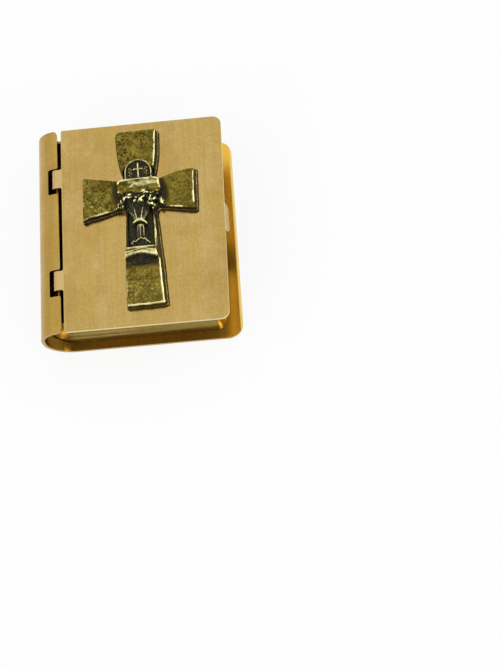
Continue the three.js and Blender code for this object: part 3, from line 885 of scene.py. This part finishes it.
class Grid:
    """Places on the casting and beside it, and how far each is inside the foot of its sides."""

    def __init__(self):
        u_line = np.arange(-LEFT_ARM - GRID_MARGIN, RIGHT_ARM + GRID_MARGIN, CROSS_STEP)
        v_line = np.arange(-FOOT_ARM - GRID_MARGIN, TOP_ARM + GRID_MARGIN, CROSS_STEP)
        self.u, self.v = np.meshgrid(u_line, v_line, indexing="ij")
        ragged = 0.05 * lattice_noise(self.u, self.v, 1.6, 7) + 0.02 * lattice_noise(self.u, self.v, 0.6, 8)
        self.edge = signed_distance(self.u, self.v, cross_outline()) + ragged
        slope_u, slope_v = np.gradient(blurred(self.edge, 3))
        steep = np.hypot(slope_u, slope_v) + TINY
        facing_right = np.clip(-slope_u / steep, 0, 1)
        self.facing_foot = np.clip(slope_v / steep, 0, 1)
        # The sides lean out more towards the right than elsewhere
        self.draft = DRAFT + RIGHT_DRAFT * facing_right
        self.lit = smooth(0.35, 0.8, np.maximum(facing_right, self.facing_foot))
        self.snap_to_edges(slope_u / steep, slope_v / steep)

    def snap_to_edges(self, inward_u, inward_v):
        """Move places near the side's foot and its top edge onto them, so that the side isn't stepped."""
        self.level = np.full(self.u.shape, OFF_EDGE)
        for level, at_edge in ((ON_FOOT, np.zeros(self.u.shape)), (ON_TOP, self.draft)):
            off = at_edge - self.edge
            near = (np.abs(off) < 0.5 * CROSS_STEP) & (self.level == OFF_EDGE)
            self.u = self.u + np.where(near, off * inward_u, 0)
            self.v = self.v + np.where(near, off * inward_v, 0)
            self.edge = np.where(near, at_edge, self.edge)
            self.level[near] = level


def casting_surface(grid):
    """Height, how worn it is with painted highlights, and its patina with painted shade; the sides fall
    from a worn round edge.
    """
    inside = grid.edge - grid.draft
    cast = full_casting(grid.u, grid.v, np.maximum(inside, 0), grid.lit)
    to_round = np.clip(ROUND_EDGE - inside, 0, ROUND_EDGE)
    drop = ROUND_EDGE - np.sqrt(np.clip(ROUND_EDGE ** 2 - to_round ** 2, 0, None))
    side_head = PLATE - ROUND_EDGE
    side = np.minimum(np.minimum(side_head * (grid.edge / grid.draft), side_head), cast.height - ROUND_EDGE)
    z = np.where(inside > 0, cast.height - drop, side)
    fine, broad = (cast.height - blurred(cast.height, cells) for cells in (3, 8))
    wear_and_highlight = np.clip(0.42 * np.tanh(fine / 0.14) + 0.35 * broad + cast.shine, -1, 1)
    wear_and_highlight = np.where(inside > 0.02, wear_and_highlight, SIDE_WEAR)
    # Painted light: the sides that face the foot near the foot's end are lighter.
    side_dark = SIDE_PATINA - 0.5 * grid.facing_foot * smooth(-20, -24, grid.v)
    return z, wear_and_highlight, np.where(inside > 0, cast.dark, side_dark)


def corner_cells(field):
    """The field at the four corners of each cell of the grid, in turn."""
    return field[:-1, :-1], field[1:, :-1], field[1:, 1:], field[:-1, 1:]


def surface_faces(grid, z, keep):
    """Quads over the kept places. A quad with opposite corners on one edge of the side is split there."""
    index = -np.ones(z.shape, int)
    index[keep] = np.arange(keep.sum())
    whole = np.logical_and.reduce(corner_cells(keep))
    high = np.maximum.reduce(corner_cells(z)) > UNDER
    chosen = whole & high
    quads = np.stack([corner[chosen] for corner in corner_cells(index)], 1)
    a, b, c, d = (corner[chosen] for corner in corner_cells(grid.level))
    first, second = (a > OFF_EDGE) & (a == c), (b > OFF_EDGE) & (b == d)
    by_first, by_second = quads[first & ~second], quads[second & ~first]
    faces = [quads[first == second], by_first[:, (0, 1, 2)], by_first[:, (0, 2, 3)],
             by_second[:, (0, 1, 3)], by_second[:, (1, 2, 3)]]
    return [face for group in faces for face in group.tolist()]


def close_underneath(mesh):
    """Cut the mesh off at the front cover and fill the cut with one flat face."""
    made = bmesh.new()
    made.from_mesh(mesh)
    bmesh.ops.delete(made, geom=[p for p in made.verts if not p.link_faces], context="VERTS")
    bmesh.ops.bisect_plane(made, geom=[*made.verts, *made.edges, *made.faces], dist=CUT_DISTANCE,
                           plane_co=(0, 0, 0), plane_no=(0, 0, -1), clear_outer=True)
    bmesh.ops.holes_fill(made, edges=[e for e in made.edges if e.is_boundary], sides=0)
    for face in made.faces:
        face.smooth = len(face.verts) <= 4
    bmesh.ops.recalc_face_normals(made, faces=made.faces)
    made.to_mesh(mesh)
    made.free()


def place_on_cover(mesh):
    """Turn the mesh, bring it to metres and lay it on the front cover."""
    points = np.zeros(len(mesh.vertices) * 3)
    mesh.vertices.foreach_get("co", points)
    u, v, z = points.reshape(-1, 3).T * MM
    x, y = turned(u, v, CROSS_TURN)
    placed = np.stack([x + CROSS_AT[0] * MM, y + CROSS_AT[1] * MM, z + COVER_TOP], 1)
    mesh.vertices.foreach_set("co", placed.ravel())
    mesh.update()


def cast_cross(name, material):
    grid = Grid()
    z, wear_and_highlight, patina_and_shade = casting_surface(grid)
    keep = z > KEPT_OVER
    points = np.stack([grid.u[keep], grid.v[keep], np.maximum(z[keep], UNDER)], 1)
    mesh = bpy.data.meshes.new(name)
    mesh.from_pydata(points.tolist(), [], surface_faces(grid, z, keep))
    for key, field in (("wear_and_highlight", wear_and_highlight), ("patina_and_shade", patina_and_shade)):
        layer = mesh.attributes.new(key, "FLOAT", "POINT")
        layer.data.foreach_set("value", np.clip(field[keep], -1, 1).astype(np.float32))
    close_underneath(mesh)
    place_on_cover(mesh)
    mesh.materials.append(material)
    piece = bpy.data.objects.new(name, mesh)
    scene.collection.objects.link(piece)
    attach(piece, "front")
    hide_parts("cross")


cast_cross("cast_cross", antique_brass("antique_brass"))


# Floor: white to the camera and in reflections, with the box's soft shadow on it
FLOOR_HALF = 2.0
FLOOR_GAP = 0.02 * MM
FLOOR_GREY = (0.82, 0.82, 0.82, 1)
FLOOR_WHITE_SHARE = 0.87


def make_floor():
    half = FLOOR_HALF
    mesh = bpy.data.meshes.new("floor")
    corners = [(-half, -half, 0), (half, -half, 0), (half, half, 0), (-half, half, 0)]
    mesh.from_pydata(corners, [], [(0, 1, 2, 3)])
    floor = bpy.data.objects.new("floor", mesh)
    scene.collection.objects.link(floor)
    floor.location.z = -FLOOR_GAP
    s = Shader("floor_white")
    matt = s.node("ShaderNodeBsdfDiffuse")
    matt.inputs["Color"].default_value = FLOOR_GREY
    white = s.node("ShaderNodeEmission")
    white.inputs["Strength"].default_value = 1.0
    paths = s.node("ShaderNodeLightPath").outputs
    seen = s.math("MAXIMUM", s.math("MAXIMUM", paths["Is Camera Ray"], paths["Is Glossy Ray"]),
                  paths["Is Transmission Ray"])
    both = s.node("ShaderNodeMixShader")
    s.put(both.inputs[0], s.times(seen, FLOOR_WHITE_SHARE))
    s.put(both.inputs[1], matt.outputs[0])
    s.put(both.inputs[2], white.outputs[0])
    s.put(s.out.inputs["Surface"], both.outputs[0])
    mesh.materials.append(s.material)


make_floor()


# Light: a pale studio and four soft lamps. Each of the studio's patches lies over the ones before, and has
# its aim, the cosines to that aim where it starts and where it is full, and its grey. A lamp has its name,
# place, size and power.
STUDIO_GREY = 0.72
PATCHES = (
    ((-0.15, 0.45, 0.88), 0.0, 0.85, 1.0),
    ((-0.84, 0.43, 0.33), 0.75, 0.97, 0.86),
    ((0.0, -1.0, 0.12), 0.86, 0.97, 0.2),
    ((0.12, -0.43, 0.89), 0.86, 0.97, 0.08),
)
LAMPS = (
    ("key", (-0.75, -0.1, 0.65), (0.5, 0.5), 1.3),
    ("front_left", (-0.62, -0.62, 0.5), (0.3, 0.3), 2.2),
    ("front_right", (0.5, -0.66, 0.5), (0.3, 0.3), 2.2),
    ("side", (0.7, 0.38, 0.42), (0.35, 0.5), 1.0),
)
LAMP_AIM = (0.0, 0.0, 0.006)


def grey(level):
    return (level, level, level, 1)


def make_world():
    world = bpy.data.worlds.new("studio")
    scene.world = world
    s = Nodes(world, "ShaderNodeOutputWorld")
    direction = s.node("ShaderNodeTexCoord").outputs["Generated"]
    sky = grey(STUDIO_GREY)
    for aim, start, full, level in PATCHES:
        nearness = s.node("ShaderNodeVectorMath", operation="DOT_PRODUCT")
        s.put(nearness.inputs[0], direction)
        s.put(nearness.inputs[1], Vector(aim).normalized())
        sky = s.mix(s.between(nearness.outputs["Value"], start, full), sky, grey(level))
    seen = s.node("ShaderNodeLightPath").outputs["Is Camera Ray"]
    ground = s.node("ShaderNodeBackground")
    s.put(ground.inputs["Color"], s.mix(seen, sky, grey(1.0)))
    s.put(ground.inputs["Strength"], 1.0)
    s.put(s.out.inputs["Surface"], ground.outputs[0])


def make_lamp(name, place, size, power):
    data = bpy.data.lights.new(name, "AREA")
    data.shape = "RECTANGLE"
    data.size, data.size_y = size
    data.energy = power
    lamp = bpy.data.objects.new(name, data)
    scene.collection.objects.link(lamp)
    lamp.location = place
    lamp.rotation_euler = (Vector(LAMP_AIM) - Vector(place)).to_track_quat("-Z", "Y").to_euler()


make_world()
for lamp in LAMPS:
    make_lamp(*lamp)
